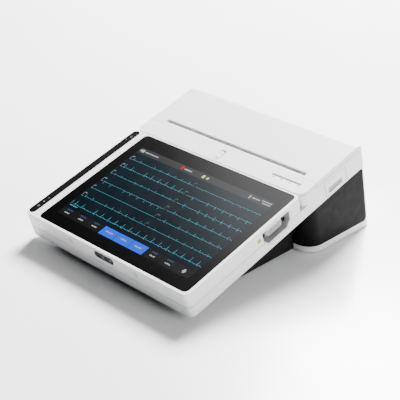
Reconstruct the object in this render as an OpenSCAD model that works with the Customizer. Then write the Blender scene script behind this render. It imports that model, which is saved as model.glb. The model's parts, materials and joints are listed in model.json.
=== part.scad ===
// Desk-top resting ECG machine: a sloping touch display slab in front of an A4 thermal printer.
// X runs to the right, Y to the rear, Z up. The origin is the centre of the footprint, on the desk.
// Pieces that follow the slope are drawn in a slope frame: x, distance up the slope from the front
// edge of the glass, and height above the glass plane.

/* [Overall] */
// Width of the machine
body_w = 268; // [264:0.5:272]
// Depth of the machine over everything
body_d = 317; // [316:0.5:318]
// Slope of the display and printer top, in degrees
tilt = 15.56; // [15.5:0.01:15.6]
// Height of the front edge of the glass above the desk
glass_z = 37.6; // [37.4:0.1:37.8]
// Thickness of the white slab, square to its top
slab_t = 32; // [31.8:0.1:32.2]
// Wall thickness of the mouldings
wall = 2.5; // [2.3:0.1:2.6]

/* [Display] */
// Width of the cover glass
glass_w = 242; // [241:0.5:243]
// Length of the cover glass up the slope
glass_l = 180; // [179.5:0.5:180.5]
// White margin in front of the glass
front_margin = 3.9; // [3.8:0.1:4]
// White margin to the right of the glass
right_margin = 4.75; // [4.7:0.05:4.8]
// Thickness of the cover glass
glass_t = 1.8; // [1.6:0.1:2]
// Width of the indicator strip
strip_w = 10.4; // [10.2:0.1:10.6]

/* [Printer] */
// Slope distance of the printer block's front face
printer_v = 183; // [182.8:0.1:183.2]
// Slope distance of the deck edge at the paper slot
slot_v0 = 213.9; // [213.8:0.1:214]
// Slope distance of the paper door edge at the paper slot
slot_v1 = 218.8; // [218.7:0.1:218.9]
// Width of the paper slot
slot_w = 222; // [220:1:224]
// Radius of a new paper roll
roll_r = 26; // [25:0.5:26.5]
// Radius of the platen rubber
platen_r = 6.5; // [6.4:0.1:6.6]
// Module of the printer gears
gear_m = 0.6; // [0.6:0.1:0.6]

/* [Rear box] */
// Lean of the rear wall from upright, in degrees
lean_a = 12.4; // [12.3:0.1:12.5]
// Radius of the rounded top rear edge
top_r = 15; // [14.5:0.5:15.5]
// Height of the rear band's underside above the desk
band_z = 1.1; // [1:0.1:1.2]
// Visible width of the white band round the dark sides
band_w = 8; // [7.5:0.5:8]
// Half width of the wedge under the slab
wedge_hw = 108; // [106:1:109]

/* [Hidden] */
$fn = 64;
hw = body_w / 2;
seam_w = -18.2;
seam_gap = 0.5;
skirt_w = -5.5;
deck_t = 2.6;
edge_r = 7;
fit = 0.3;
running = 0.05;

// Slope frame: its origin is the front edge of the glass
glass_y = -body_d / 2 + front_margin * cos(tilt);
function up_slope(v, w) =
    [glass_y + v * cos(tilt) - w * sin(tilt), glass_z + v * sin(tilt) + w * cos(tilt)];
glass_x1 = hw - right_margin;
glass_x0 = glass_x1 - glass_w;

// Rear wall frame: its origin is where the wall meets the bottom fillet
foot_r = 6;
foot_c = [body_d / 2 - foot_r, band_z + foot_r];
wall_n = [cos(lean_a), sin(lean_a)];
wall_u = [-sin(lean_a), cos(lean_a)];
wall_0 = foot_c + foot_r * wall_n;

// Box front, in the rear wall frame, and the line of the slab's underside
box_front = [glass_y + 198, glass_z - 28.5];
box_f = (box_front - wall_0) * wall_n;
box_r = 20;
rear_r = 11;
front_r = 9;

// Where a line parallel to the slope at height w meets one parallel to the rear wall, inset by i
slope_u = [cos(tilt), sin(tilt)];
function meet_v(w, i) =
    ((wall_0 - [glass_y, glass_z]) * wall_n - i + w * sin(tilt - lean_a)) / (slope_u * wall_n);
top_c = up_slope(meet_v(-top_r, top_r), -top_r);

function arc(c, r, a0, a1, n) =
    [for (i = [0:n]) c + r * [cos(a0 + (a1 - a0) * i / n), sin(a0 + (a1 - a0) * i / n)]];

// Outline of the rear block seen from the right, moved in by i, from the front foot of the box round
function block_outline(i) = concat(
    [up_slope(printer_v + i, -slab_t), up_slope(printer_v + i, -i)],
    arc(top_c, top_r - i, 90 + tilt, lean_a, 12),
    arc(foot_c, foot_r - min(i, foot_r - 1), lean_a, -90, 6),
    [[glass_y + 150, band_z + min(i, foot_r - 1)]]);

// Y of a line parallel to the rear wall, moved in by i, at height z
function wall_y(z, i) = wall_0[0] - (i + (z - wall_0[1]) * wall_n[1]) / wall_n[0];

// Hinge of the paper door, inside the rear wall
barrel_r = 4;
hinge_z = glass_z + 56.6;
hinge = [wall_y(hinge_z, barrel_r), hinge_z];
lug_x = 96;
lug_w = 8;

module slope() translate([0, glass_y, glass_z]) rotate([tilt, 0, 0]) children();

module lean() translate([0, wall_0[0], wall_0[1]]) rotate([lean_a, 0, 0]) children();

// A profile of [y, z] points, drawn from x0 to x1
module across(points, x0, x1)
    translate([x0, 0, 0]) rotate([90, 0, 90]) linear_extrude(x1 - x0) polygon(points);

// A rectangle with round corners
module round_rect(x0, y0, x1, y1, r) {
    translate([x0 + r, y0]) square([x1 - x0 - 2 * r, y1 - y0]);
    translate([x0, y0 + r]) square([x1 - x0, y1 - y0 - 2 * r]);
    for (x = [x0 + r, x1 - r], y = [y0 + r, y1 - r]) translate([x, y]) circle(r);
}

module round_box(x0, y0, z0, x1, y1, z1, r)
    translate([0, 0, z0]) linear_extrude(z1 - z0) round_rect(x0, y0, x1, y1, r);

module box(x0, y0, z0, x1, y1, z1) translate([x0, y0, z0]) cube([x1 - x0, y1 - y0, z1 - z0]);

// A rod along X at [v, w] of the slope frame
module rod(v, w, r, x0, x1) translate([x0, v, w]) rotate([0, 90, 0]) cylinder(r = r, h = x1 - x0);

// Plan outline with round corners, r0 at the front and r1 at the rear
function plan(x0, y0, x1, y1, r0, r1) = concat(
    arc([x0 + r0, y0 + r0], r0, 180, 270, 6), arc([x1 - r0, y0 + r0], r0, 270, 360, 6),
    arc([x1 - r1, y1 - r1], r1, 0, 90, 6), arc([x0 + r1, y1 - r1], r1, 90, 180, 6));

module prism(points, z0, z1) translate([0, 0, z0]) linear_extrude(z1 - z0) polygon(points);

// The printer block above the slab's underside, moved in by i
module block(i) intersection() {
    across(block_outline(i), -hw - 1, hw + 1);
    lean() prism(plan(-hw + i, -170, hw - i, -i, rear_r - i, rear_r - i), -50, 150);
    slope() prism(plan(-hw + i, printer_v + i, hw - i, 340, front_r - i, front_r - i), -slab_t - i, 10);
}

// The rear box under the printer block, moved in by i
module foot_block(i) intersection() {
    across(block_outline(i), -hw - 1, hw + 1);
    lean() prism(plan(-hw + i, box_f + i, hw - i, -i, box_r - i, rear_r - i), -50, 150);
}

// Side view of the dark panel: under the slab and inside the white band, with two round corners
panel_r0 = 5;
panel_r1 = 5;
panel_c0 = up_slope(meet_v(-slab_t - panel_r0, band_w + panel_r0), -slab_t - panel_r0);
panel_z1 = band_z + band_w + panel_r1;
panel_c1 = [wall_y(panel_z1, band_w + panel_r1), panel_z1];
panel_front = glass_y + 150;
panel_outline = concat(
    [up_slope(150, -slab_t)],
    arc(panel_c0, panel_r0, 90 + tilt, lean_a, 5),
    arc(panel_c1, panel_r1, lean_a, -90, 6),
    [[panel_front, band_z + band_w]]);

// Height at which the lower case's rear wall meets the rear band
split_z = 62;

// Side view of the paper door: its top, its skirt and its rear down to the hinge, grown by gap.
// The door itself ends in an arc round the hinge, so that it turns clear of the case.
swing_r = barrel_r + 0.6;
skirt_in = barrel_r + swing_r;
skirt_r = 8;
skirt_c = up_slope(meet_v(skirt_w - skirt_r, skirt_in + skirt_r), skirt_w - skirt_r);
door_low = hinge[1] - swing_r;
door_gap = 0.5;
module door_region(x0, x1, v0, gap = 0)
    across(concat(
        [up_slope(v0 - gap, 20), up_slope(v0 - gap, skirt_w - gap)],
        arc(skirt_c, skirt_r - gap, 90 + tilt, lean_a, 6),
        gap > 0 ? [[wall_y(door_low - gap, skirt_in + gap), door_low - gap], [body_d, door_low - gap]]
            : concat(arc(hinge, swing_r, 180, 360, 12), [[body_d, hinge[1]]]),
        [[body_d, 200]]), x0, x1);

// ---- Casing ----

door_v0 = 209.3;
pocket_v = [115, 160];
pocket_w = [-22.5, -4];
pocket_d = 10.5;
guard = [[117, seam_w], [121.5, -24.3], [152, -24.3], [157.5, seam_w]];
flap_v = [222.5, 260];
flap_w = [-30, -10];

// A [v, w] profile of the slope frame, drawn from x0 to x1
module on_side(points, x0, x1)
    translate([x0, 0, 0]) rotate([90, 0, 90]) linear_extrude(x1 - x0) polygon(points);

module lower_case() color("white") difference() {
    union() {
        difference() {
            slope() round_box(-hw, -front_margin, -slab_t, hw, printer_v + 20, seam_w, edge_r);
            slope() round_box(-hw + wall, -front_margin + wall, -slab_t + wall,
                hw - wall, printer_v, 10, edge_r - wall);
            slope() box(-hw + wall, printer_v + wall, -slab_t - 1, hw - wall, 210, 10);
        }
        difference() {
            difference() {
                block(0);
                block(wall);
            }
            slope() box(-hw - 1, printer_v - 1, -deck_t, hw + 1, door_v0 + 1, 20);
            door_region(-hw - 1, hw + 1, door_v0, door_gap);
        }
        difference() {
            foot_block(0);
            slope() box(-hw - 1, 0, -slab_t + 1, hw + 1, 400, 100);
            box(-hw - 1, -body_d, 0, hw + 1, body_d, split_z);
            across(panel_outline, -hw - 1, hw + 1);
            foot_block(wall);
        }
        for (s = [-1, 1]) hinge_lug(s * lug_x);
    }
    // Notch for the connector guard
    slope() on_side([[116.2, seam_w + 1], [121, -24.7], [152.4, -24.7], [158.3, seam_w + 1]],
        hw - wall - 11, hw + 1);
    // Opening behind the port flap
    slope() box(hw - 5, flap_v[0] - flap_gap, flap_w[0] - fit, hw + 1, flap_v[1] + flap_gap,
        flap_w[1] + fit);
    slope() translate([flap_axis[0], flap_v[0] - 2.5, flap_axis[1]]) rotate([-90, 0, 0])
        cylinder(r = flap_pin_r, h = flap_v[1] - flap_v[0] + 5);
    // Speaker slots in the left side
    for (i = [0:6]) slope() box(-hw - 1, 58 + 4 * i, -29, -hw + wall + 1, 60 + 4 * i, -21);
    // Bores for the door pins
    for (s = [-1, 1]) translate([s * lug_x - lug_w, hinge[0], hinge[1]]) rotate([0, 90, 0])
        cylinder(r = 1.5, h = 2 * lug_w);
}

// A lug that stands on the rear wall and holds a door pin
module hinge_lug(x) translate([x - lug_w / 2, 0, 0]) {
    translate([0, hinge[0], hinge[1]]) rotate([0, 90, 0]) cylinder(r = barrel_r - 0.1, h = lug_w);
    across([[hinge[0] - 3.2, hinge[1]], [hinge[0] + 3.4, hinge[1]],
        [wall_y(door_low - 1, wall), door_low - 4], [wall_y(door_low - 1, wall) - 4, door_low - 12],
        [hinge[0] - 3.2, door_low - 4]], 0, lug_w);
    box(0, wall_y(door_low - 12, wall + 2), door_low - 12, lug_w, wall_y(door_low, 1), door_low - 1);
}

// Round ended outline along the slope, centred on x
module stadium(x, v0, v1, w0, w1, r) translate([0, 0, w0]) linear_extrude(w1 - w0) {
    translate([x, v0 + r]) circle(r);
    translate([x, v1 - r]) circle(r);
    translate([x - r, v0 + r]) square([2 * r, v1 - v0 - 2 * r]);
}

strip_x = glass_x0 - 15.5;
strip_v = [0, 180.4];
key_v = [160.5, 176];
key_r = 3.8;
window_x = [glass_x0 + 101, glass_x0 + 132];
window_w = [-12, -3];
plug_x = [glass_x0 + 59.5, glass_x0 + 168];
plug_w = -7.5;
plug_r = 4;

// The indicator window's outline, moved in by i, drawn between two depths behind the front face
module window_solid(i, d0, d1) translate([0, -front_margin + d1, 0]) rotate([90, 0, 0])
    linear_extrude(d1 - d0)
        round_rect(window_x[0] + i, window_w[0] + i, window_x[1] - i, window_w[1] - i, 3.6 - i);

module plug_solids(grow, d0, d1)
    for (x = plug_x) translate([x, -front_margin + d1, plug_w]) rotate([90, 0, 0])
        cylinder(r = plug_r + grow, h = d1 - d0);

function pocket_points(g) = [
    [pocket_v[0] - g, pocket_w[1] + g], [pocket_v[0] - g, pocket_w[0] + 7],
    [pocket_v[0] + 7 - g, pocket_w[0] - g], [pocket_v[1] - 7 + g, pocket_w[0] - g],
    [pocket_v[1] + g, pocket_w[0] + 7], [pocket_v[1] + g, pocket_w[1] + g]];

module display_frame() color("white") slope() difference() {
    union() {
        difference() {
            union() {
                round_box(-hw, -front_margin, seam_w + seam_gap, hw, printer_v - 1, 0, edge_r);
                round_box(-hw + seam_gap, -front_margin + seam_gap, seam_w, hw - seam_gap,
                    printer_v - 1 - seam_gap, seam_w + seam_gap, edge_r - seam_gap);
            }
            round_box(-hw + wall, -front_margin + wall, seam_w - 1,
                hw - wall, printer_v - 1 - wall, -4, edge_r - wall);
        }
        on_side(guard, hw - wall, hw);
        on_side(pocket_points(1.5), hw - pocket_d - 2, hw - wall);
        window_solid(-1.5, 1, wall + 1.5);
        intersection() {
            stadium(strip_x, strip_v[0], strip_v[1], -7, -3, strip_w / 2 + 1.5);
            round_box(-hw, -front_margin, -8, hw, printer_v - 1, 0, edge_r);
        }
    }
    round_box(glass_x0 - 0.2, -0.2, -glass_t, glass_x1 + 0.2, glass_l + 0.2, 1, 6.2);
    box(glass_x0 + 7, 7, -8, glass_x1 - 7, glass_l - 7, 0);
    stadium(strip_x, strip_v[0] - 0.1, strip_v[1] + 0.1, -1.5, 1, strip_w / 2 + 0.1);
    stadium(strip_x, key_v[0] - 0.4, key_v[1] + 0.4, -20, 1, key_r + 0.4);
    window_solid(-0.1, -1, 1.5);
    window_solid(1.5, -1, 9);
    plug_solids(0.15, -1, 1);
    on_side(pocket_points(0), hw - pocket_d, hw + 1);
    // Seat of the patient connector in the pocket's back wall
    box(hw - pocket_d - 3, conn_v - 12.9, conn_w - 4.6, hw - pocket_d + 1, conn_v + 12.9, conn_w + 4.6);
    for (s = [-1, 1]) rod(conn_v + s * jack_pitch / 2, conn_w, 1.7, hw - pocket_d - 3, hw - pocket_d + 1);
    // Small round reset hole behind the pocket
    rod(163.4, -7.7, 1, hw - 1.5, hw + 1);
}

module display_glass() color("#17181a") slope()
    round_box(glass_x0, 0, -glass_t, glass_x1, glass_l, 0, 6);

module display_panel() color("#20262a") slope() {
    round_box(glass_x0 + 9, 9, -glass_t - 4.5, glass_x1 - 9, glass_l - 9, -glass_t, 2);
    box(glass_x0 + 30, 30, -glass_t - 6, glass_x1 - 60, 60, -glass_t - 4.5);
}

module indicator_strip() color("#111111") slope() difference() {
    stadium(strip_x, strip_v[0], strip_v[1], -1.5, 0, strip_w / 2);
    stadium(strip_x, key_v[0] - 0.4, key_v[1] + 0.4, -3, 1, key_r + 0.4);
}

module power_key() color("#0a0a0a") slope() {
    stadium(strip_x, key_v[0], key_v[1], -5.5, -0.1, key_r);
    stadium(strip_x, key_v[0] + 3, key_v[1] - 3, -9, -5.5, 1.5);
}

module front_window() color("#101014") slope() {
    window_solid(0, 0, 1.5);
    window_solid(1.7, 1.5, 4);
}

module front_plugs() color("#e8e8e8") slope() plug_solids(0, 0.1, 1);

// ---- Printer deck ----

latch_x = glass_x0 + 111.35;
latch_v = [186, 205];
latch_hw = 3.9;
latch_travel = 3;
stem_v = [189.5, 193.5];
light_x = [for (i = [0:3]) glass_x0 + 195.5 + 11.9 * i];
light_v = 195.5;
slot_x0 = glass_x0 + 2.9;
slot_x1 = slot_x0 + slot_w;

module printer_deck() color("white") slope() difference() {
    union() {
        intersection() {
            union() {
                prism(plan(-hw, printer_v, hw, 240, front_r, front_r), seam_gap - deck_t, 0);
                prism(plan(seam_gap - hw, printer_v + seam_gap, hw - seam_gap, 240,
                    front_r - seam_gap, front_r - seam_gap), -deck_t, seam_gap - deck_t);
            }
            box(-hw, printer_v, -deck_t, hw, slot_v0, 0);
        }
        box(latch_x - latch_hw - 2, printer_v + wall, -6, latch_x + latch_hw + 2, latch_v[1] + 2, -deck_t);
    }
    box(-hw - 1, door_v0 - fit, -10, slot_x0 - 1, 250, 1);
    box(slot_x1 + 1, door_v0 - fit, -10, hw + 1, 250, 1);
    // Scoop of the latch button, with a slot for its stem
    round_box(latch_x - latch_hw, latch_v[0], -2, latch_x + latch_hw, latch_v[1], 1, latch_hw - 0.1);
    box(latch_x - 2, stem_v[0] - 0.5, -10, latch_x + 2, stem_v[1] + latch_travel + 0.5, 0);
    // Shallow groove behind the four lights
    round_box(light_x[0] - 4.5, light_v + 1.2, -1, light_x[3] + 2.2, light_v + 4.2, 1, 1.4);
    for (x = light_x) translate([x, light_v, -10]) cylinder(r = 1, h = 20);
}

module deck_lights() color("#30343a") slope()
    for (x = light_x) translate([x, light_v, -6]) cylinder(r = 0.9, h = 5.8);

// ---- Rear box, band and wedge ----

module rear_box() color("#3a3b3d") difference() {
    intersection() {
        across(panel_outline, -hw, hw);
        difference() {
            lean() prism(plan(-hw + 0.4, box_f + 0.4, hw - 0.4, 60, box_r - 0.4, 8), -50, 150);
            lean() prism(plan(-hw + 3, box_f + 3, hw - 3, 70, box_r - 3, 8), -60, 160);
        }
    }
    // The harness from the slab passes through the front wall
    box(-30, glass_y + 170, 30, 10, glass_y + 210, 40);
}

module wall_cut(x0, z0, x1, z1, r) lean() translate([0, 5, 0]) rotate([90, 0, 0])
    linear_extrude(20) round_rect(x0, z0, x1, z1, r);

inlet_x = -84;
inlet_z = 24;
inlet_hw = 13.7;
inlet_hh = 10;
post_x = -50;
post_z = 24;
lan_x = 20;
usb_x = 52;
jack_z = 18;

module rear_band() color("white") difference() {
    difference() {
        intersection() {
            foot_block(0);
            union() {
                box(-hw - 1, 60, 0, hw + 1, body_d, split_z);
                box(-hw - 1, -60, 0, hw + 1, 61, band_z + band_w + 1);
            }
        }
        across(panel_outline, -hw - 1, hw + 1);
        foot_block(wall);
    }
    wall_cut(inlet_x - inlet_hw - 0.2, inlet_z - inlet_hh - 0.2,
        inlet_x + inlet_hw + 0.2, inlet_z + inlet_hh + 0.2, 2.2);
    lean() translate([post_x, 5, post_z]) rotate([90, 0, 0]) cylinder(r = 4, h = 20);
    wall_cut(lan_x - 8.2, jack_z - 6.9, lan_x + 8.2, jack_z + 6.9, 0.5);
    wall_cut(usb_x - 7.4, jack_z - 8.2, usb_x + 7.4, jack_z + 8.2, 0.5);
    // Air slots in the rear wall
    for (i = [0:13]) wall_cut(78 + 3.4 * i - 22, 34, 79.6 + 3.4 * i - 22, 50, 0.7);
}

wedge_f = up_slope(14, -slab_t);
wedge_z = 1.6;
wedge_back = [box_front[0] - (wedge_z - box_front[1]) * tan(lean_a), wedge_z];
wedge_top = up_slope(meet_v(-slab_t, -box_f), -slab_t);
battery = [-66, glass_y + 128, 66, glass_y + 176];
screw_pos = [[-98, glass_y + 60], [98, glass_y + 60], [-98, glass_y + 170], [98, glass_y + 170]];
screw_r = 2.9;
screw_h = 1.9;

module base_wedge() color("#1c1c1e") difference() {
    across([[wedge_f[0], wedge_z], wedge_f, wedge_top, wedge_back], -wedge_hw, wedge_hw);
    intersection() {
        across([[wedge_f[0] + 20, wedge_z + wall], [wedge_f[0] + 30, wedge_f[1] + 4],
            wedge_top - [wall + 3, 3], [wedge_back[0] - 6, wedge_z + wall]],
            -wedge_hw + wall, wedge_hw - wall);
        box(-wedge_hw + wall, -body_d, 0, wedge_hw - wall, body_d, 200);
    }
    for (p = screw_pos) translate([p[0], p[1], 0]) {
        cylinder(r = screw_r, h = wedge_z + screw_h);
        cylinder(r = 1.5, h = wedge_z + 10);
    }
    // Battery opening in the underside
    box(battery[0] - 0.2, battery[1] - 0.2, 0, battery[2] + 0.2, battery[3] + 0.2, 10);
}

module battery_cover() color("#242426") {
    box(battery[0], battery[1], wedge_z, battery[2], battery[3], wedge_z + 2);
    for (i = [0:5]) box(-20, battery[1] + 4 + 3 * i, wedge_z + 2, 20, battery[1] + 5.2 + 3 * i, wedge_z + 2.4);
}

// Six round cells in a wrapped pack, above its cover
module battery_pack() color("#2d5f8a") difference() {
    box(battery[0] + 4, battery[1] + 3, wedge_z + 3, battery[2] - 4, battery[3] - 3, wedge_z + 22);
    for (i = [0:5]) box(battery[0] + 23.5 + 20 * i, battery[1], wedge_z + 20.5,
        battery[0] + 24.5 + 20 * i, battery[3], wedge_z + 30);
}

foot_pos = [[-90, glass_y + 40], [90, glass_y + 40], [-112, body_d / 2 - 34], [112, body_d / 2 - 34]];
module rubber_feet() color("#222222")
    for (p = foot_pos) translate([p[0], p[1], 0])
        cylinder(r = 7, h = p[1] < 0 ? wedge_z : band_z);

module case_screws() color("silver") for (p = screw_pos) translate([p[0], p[1], wedge_z]) difference() {
    union() {
        translate([0, 0, 0.2]) cylinder(r = screw_r, h = screw_h - 0.2);
        translate([0, 0, screw_h - 0.1]) cylinder(r = 1.5, h = 7);
    }
    cylinder(r = 1.3, h = 1.2, $fn = 6);
}

// ---- Patient connector ----

conn_v = 138.5;
conn_w = -15.2;
jack_pitch = 33.3;
conn_x = hw - pocket_d;

// The D outline of the connector, in the slope frame's [v, w], grown by g
function d_outline(g) = [[conn_v - 12.4 - g, conn_w + 4.1 + g], [conn_v - 11.6 - g, conn_w - 4.1 - g],
    [conn_v + 11.6 + g, conn_w - 4.1 - g], [conn_v + 12.4 + g, conn_w + 4.1 + g]];

module connector_shell() color("silver") slope() difference() {
    union() {
        on_side(d_outline(0), conn_x - 1.9, conn_x + 5.5);
        box(conn_x - 3.2, conn_v - 19.4, conn_w - 5, conn_x - 2.2, conn_v + 19.4, conn_w + 5);
        on_side(d_outline(0), conn_x - 9, conn_x - 1.9);
    }
    on_side(d_outline(-0.5), conn_x - 10, conn_x + 6);
    for (s = [-1, 1]) rod(conn_v + s * jack_pitch / 2, conn_w, 1.6, conn_x - 5, conn_x);
}

contact_pos = concat(
    [for (i = [0:7]) [conn_v + (i - 3.5) * 2.76, conn_w + 1.42]],
    [for (i = [0:6]) [conn_v + (i - 3) * 2.76, conn_w - 1.42]]);

module connector_insert() color("#d9d9d4") slope() difference() {
    on_side(d_outline(-0.55), conn_x - 8, conn_x + 5);
    for (p = contact_pos) rod(p[0], p[1], 0.85, conn_x - 9, conn_x + 6);
}

module connector_contacts() color("gold") slope()
    for (p = contact_pos) rod(p[0], p[1], 0.5, conn_x - 12, conn_x + 1.5);

module jack_screws() color("silver") slope() for (s = [-1, 1]) difference() {
    union() {
        rod(conn_v + s * jack_pitch / 2, conn_w, 1.5, conn_x - 6, conn_x);
        translate([0, conn_v + s * jack_pitch / 2, conn_w]) rotate([0, 90, 0])
            translate([0, 0, conn_x]) cylinder(r = 2.5, h = 4.5, $fn = 6);
    }
    rod(conn_v + s * jack_pitch / 2, conn_w, 1.25, conn_x - 3, conn_x + 5);
}

// ---- Side ports and their flap ----

flap_t = 2.2;
flap_r = flap_t / 2;
flap_axis = [hw - flap_r, flap_w[1] - flap_r];
flap_gap = 0.6;
flap_pin_r = 0.6;
carrier_x = hw - 9;
socket_v = [239, 252];

module side_ports() color("#2b2c2e") slope() difference() {
    union() {
        box(carrier_x - 2, flap_v[0] + 2, flap_w[0] + 1, carrier_x, flap_v[1] - 2, flap_w[1] - 2.6);
        for (v = socket_v) box(carrier_x - 12.5, v - 6, -26, carrier_x, v + 6, -15);
    }
    for (v = socket_v) {
        box(carrier_x - 11, v - 5.2, -25, carrier_x + 1, v + 5.2, -22);
        box(carrier_x - 11, v - 5.2, -20, carrier_x + 1, v + 5.2, -17);
    }
}

module port_flap() color("white") slope() difference() {
    union() {
        box(hw - flap_t, flap_v[0], flap_w[0], hw, flap_v[1], flap_axis[1]);
        translate([flap_axis[0], flap_v[0], flap_axis[1]]) rotate([-90, 0, 0])
            cylinder(r = flap_r, h = flap_v[1] - flap_v[0]);
    }
    // Finger pull, and bores for the two pins
    box(hw - 1.2, 227.5, -27, hw + 1, 252.5, -20);
    for (v = [flap_v[0] - 1, flap_v[1] - 4]) translate([flap_axis[0], v, flap_axis[1]])
        rotate([-90, 0, 0]) cylinder(r = flap_pin_r + running, h = 5);
}

module flap_pins() color("silver") slope()
    for (v = [flap_v[0] - 2.5, flap_v[1] - 3.6]) translate([flap_axis[0], v, flap_axis[1]])
        rotate([-90, 0, 0]) cylinder(r = flap_pin_r, h = 6.1);

// ---- Rear connections ----

module mains_inlet() color("#161616") lean() difference() {
    union() {
        translate([0, 1.6, 0]) rotate([90, 0, 0]) linear_extrude(1.6) difference() {
            round_rect(inlet_x - inlet_hw - 2, inlet_z - inlet_hh - 2,
                inlet_x + inlet_hw + 2, inlet_z + inlet_hh + 2, 3);
            round_rect(inlet_x - 12.2, inlet_z - 8.2, inlet_x + 12.2, inlet_z + 8.2, 2);
        }
        rotate([90, 0, 0]) linear_extrude(20)
            round_rect(inlet_x - inlet_hw, inlet_z - inlet_hh, inlet_x + inlet_hw, inlet_z + inlet_hh, 2);
    }
    translate([0, 3, 0]) rotate([90, 0, 0]) linear_extrude(19)
        round_rect(inlet_x - 12.2, inlet_z - 8.2, inlet_x + 12.2, inlet_z + 8.2, 2);
    pin_bars(-21);
}

// The three mains pins, from depth y0 to their tips
module pin_bars(y0) for (i = [-1:1])
    translate([inlet_x + 7 * i - 1, y0, inlet_z + (i == 0 ? 2 : -2) - 2]) cube([2, -12 - y0, 4]);

module inlet_pins() color("silver") lean() pin_bars(-22);

post_r = 3;
post_l = 5;
module earth_post() color("silver") lean() translate([post_x, 0, post_z]) rotate([-90, 0, 0]) {
    translate([0, 0, -8]) cylinder(r = 3.9, h = 8);
    translate([0, 0, -wall - 4]) cylinder(r = 6, h = 4);
    cylinder(r = post_r, h = post_l);
}

module socket_can(x, z, w, h, depth) difference() {
    translate([x - w, -depth, z - h]) cube([2 * w, depth + 0.2, 2 * h]);
    translate([x - w + 1, -depth + 2, z - h + 1]) cube([2 * w - 2, depth, 2 * h - 2]);
}

module network_socket() color("silver") lean() {
    socket_can(lan_x, jack_z, 8, 6.7, 18);
    translate([lan_x - 5, -15, jack_z - 5.7]) cube([10, 9, 1.2]);
}

module usb_sockets() color("silver") lean() {
    socket_can(usb_x, jack_z, 7.2, 8, 17);
    for (s = [-1, 1]) translate([usb_x - 5.5, -15, jack_z + 4 * s - 0.9]) cube([11, 12, 1.8]);
    translate([usb_x - 6.2, -15, jack_z - 0.5]) cube([12.4, 15, 1]);
}

// ---- Boards ----

// A board in the slope frame with a few raised components
module board(x0, v0, w0, x1, v1, parts) difference() {
    union() {
        box(x0, v0, w0, x1, v1, w0 + 1.6);
        for (p = parts) box(x0 + p[0], v0 + p[1], w0 + 1.6, x0 + p[0] + p[2], v0 + p[1] + p[3], w0 + 1.6 + p[4]);
    }
    for (x = [x0 + 4, x1 - 4], v = [v0 + 4, v1 - 4]) translate([x, v, w0 - 1]) cylinder(r = 1.6, h = 4);
}

board_w = -slab_t + wall + 4;
module main_board() color("#1f6b3a") slope() {
    board(-90, 20, board_w, 20, 110,
        [[20, 20, 24, 24, 2], [52, 20, 14, 14, 1.4], [52, 40, 14, 14, 1.4], [80, 10, 18, 30, 4],
            [12, 60, 40, 6, 6], [70, 62, 30, 12, 5]]);
    for (x = [-86, 16], v = [24, 106]) translate([x, v, board_w - 4]) difference() {
        cylinder(r = 3, h = 4);
        translate([0, 0, -1]) cylinder(r = 1.2, h = 6);
    }
}

module acquisition_board() color("#1f4f7b") slope() {
    board(60, 112, board_w, 112, 168, [[8, 8, 12, 12, 2], [26, 8, 12, 12, 2], [8, 30, 36, 16, 5]]);
    for (x = [64, 108], v = [116, 164]) translate([x, v, board_w - 4]) difference() {
        cylinder(r = 3, h = 4);
        translate([0, 0, -1]) cylinder(r = 1.2, h = 6);
    }
}

power_z = band_z + wall + 4;
module power_board() color("#3b6b2a") {
    box(-110, 62, power_z, -20, 122, power_z + 1.6);
    for (p = [[-100, 70, 26, 22, 18], [-66, 68, 20, 30, 14], [-40, 72, 12, 12, 16]])
        box(p[0], p[1], power_z + 1.6, p[0] + p[2], p[1] + p[3], power_z + 1.6 + p[4]);
    for (x = [-106, -24], y = [66, 118]) translate([x, y, band_z + wall]) cylinder(r = 3, h = 4);
}

module speaker() color("#1a1a1a") slope() difference() {
    union() {
        box(-hw + wall + 2, 54, -slab_t + wall, -hw + wall + 16, 90, -20.5);
        box(-hw + wall, 56, -slab_t + wall, -hw + wall + 2, 88, -20.5);
    }
    rod(72, -25, 3.6, -hw, -hw + wall + 5);
}

// ---- Printer mechanism: all in the slope frame, as [v, w] centres ----

print_x = (slot_x0 + slot_x1) / 2;
platen_c = [224, -12];
platen_teeth = 24;
idler_teeth = 40;
pinion_teeth = 12;
mesh_gap = 0.06;
idler_a = -108;
idler_c = platen_c + (gear_m * (platen_teeth + idler_teeth) / 2 + mesh_gap) * [cos(idler_a), sin(idler_a)];
pinion_a = -110;
pinion_c = idler_c + (gear_m * (idler_teeth + pinion_teeth) / 2 + mesh_gap) * [cos(pinion_a), sin(pinion_a)];
cheek_x = 118;
cheek_t = 1.5;
gear_x = [print_x - 125.5, print_x - 121];

// Involute gear outline, with one tooth centred on angle a0
pressure = 20;
backlash = 0.12;
function involute(r, base) = let (a = acos(min(1, base / r))) tan(a) * 180 / PI - a;
function tooth_half(r, pitch, base, z) = 90 / z - backlash / pitch * 90 / PI
    + involute(pitch, base) - involute(max(r, base), base);
function gear_points(z, a0) = let (
    pitch = gear_m * z / 2,
    base = pitch * cos(pressure),
    tip = pitch + 0.9 * gear_m,
    root = pitch - 1.2 * gear_m,
    radii = [root, max(base, root + 0.05), pitch, (pitch + tip) / 2, tip])
    [for (k = [0:z - 1], side = [-1, 1], i = [0:4]) let (
        r = side < 0 ? radii[i] : radii[4 - i],
        a = a0 + 360 * k / z + side * tooth_half(r, pitch, base, z))
        r * [cos(a), sin(a)]];

module gear(z, a0, c, x0, x1) translate([x0, c[0], c[1]]) rotate([90, 0, 90])
    linear_extrude(x1 - x0) polygon(gear_points(z, a0));

idler_a0 = idler_a + 180 + 180 / idler_teeth;
idler_lead = (idler_a0 - pinion_a) % (360 / idler_teeth);
pinion_a0 = pinion_a + 180 - idler_lead * idler_teeth / pinion_teeth + 180 / pinion_teeth;

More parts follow.
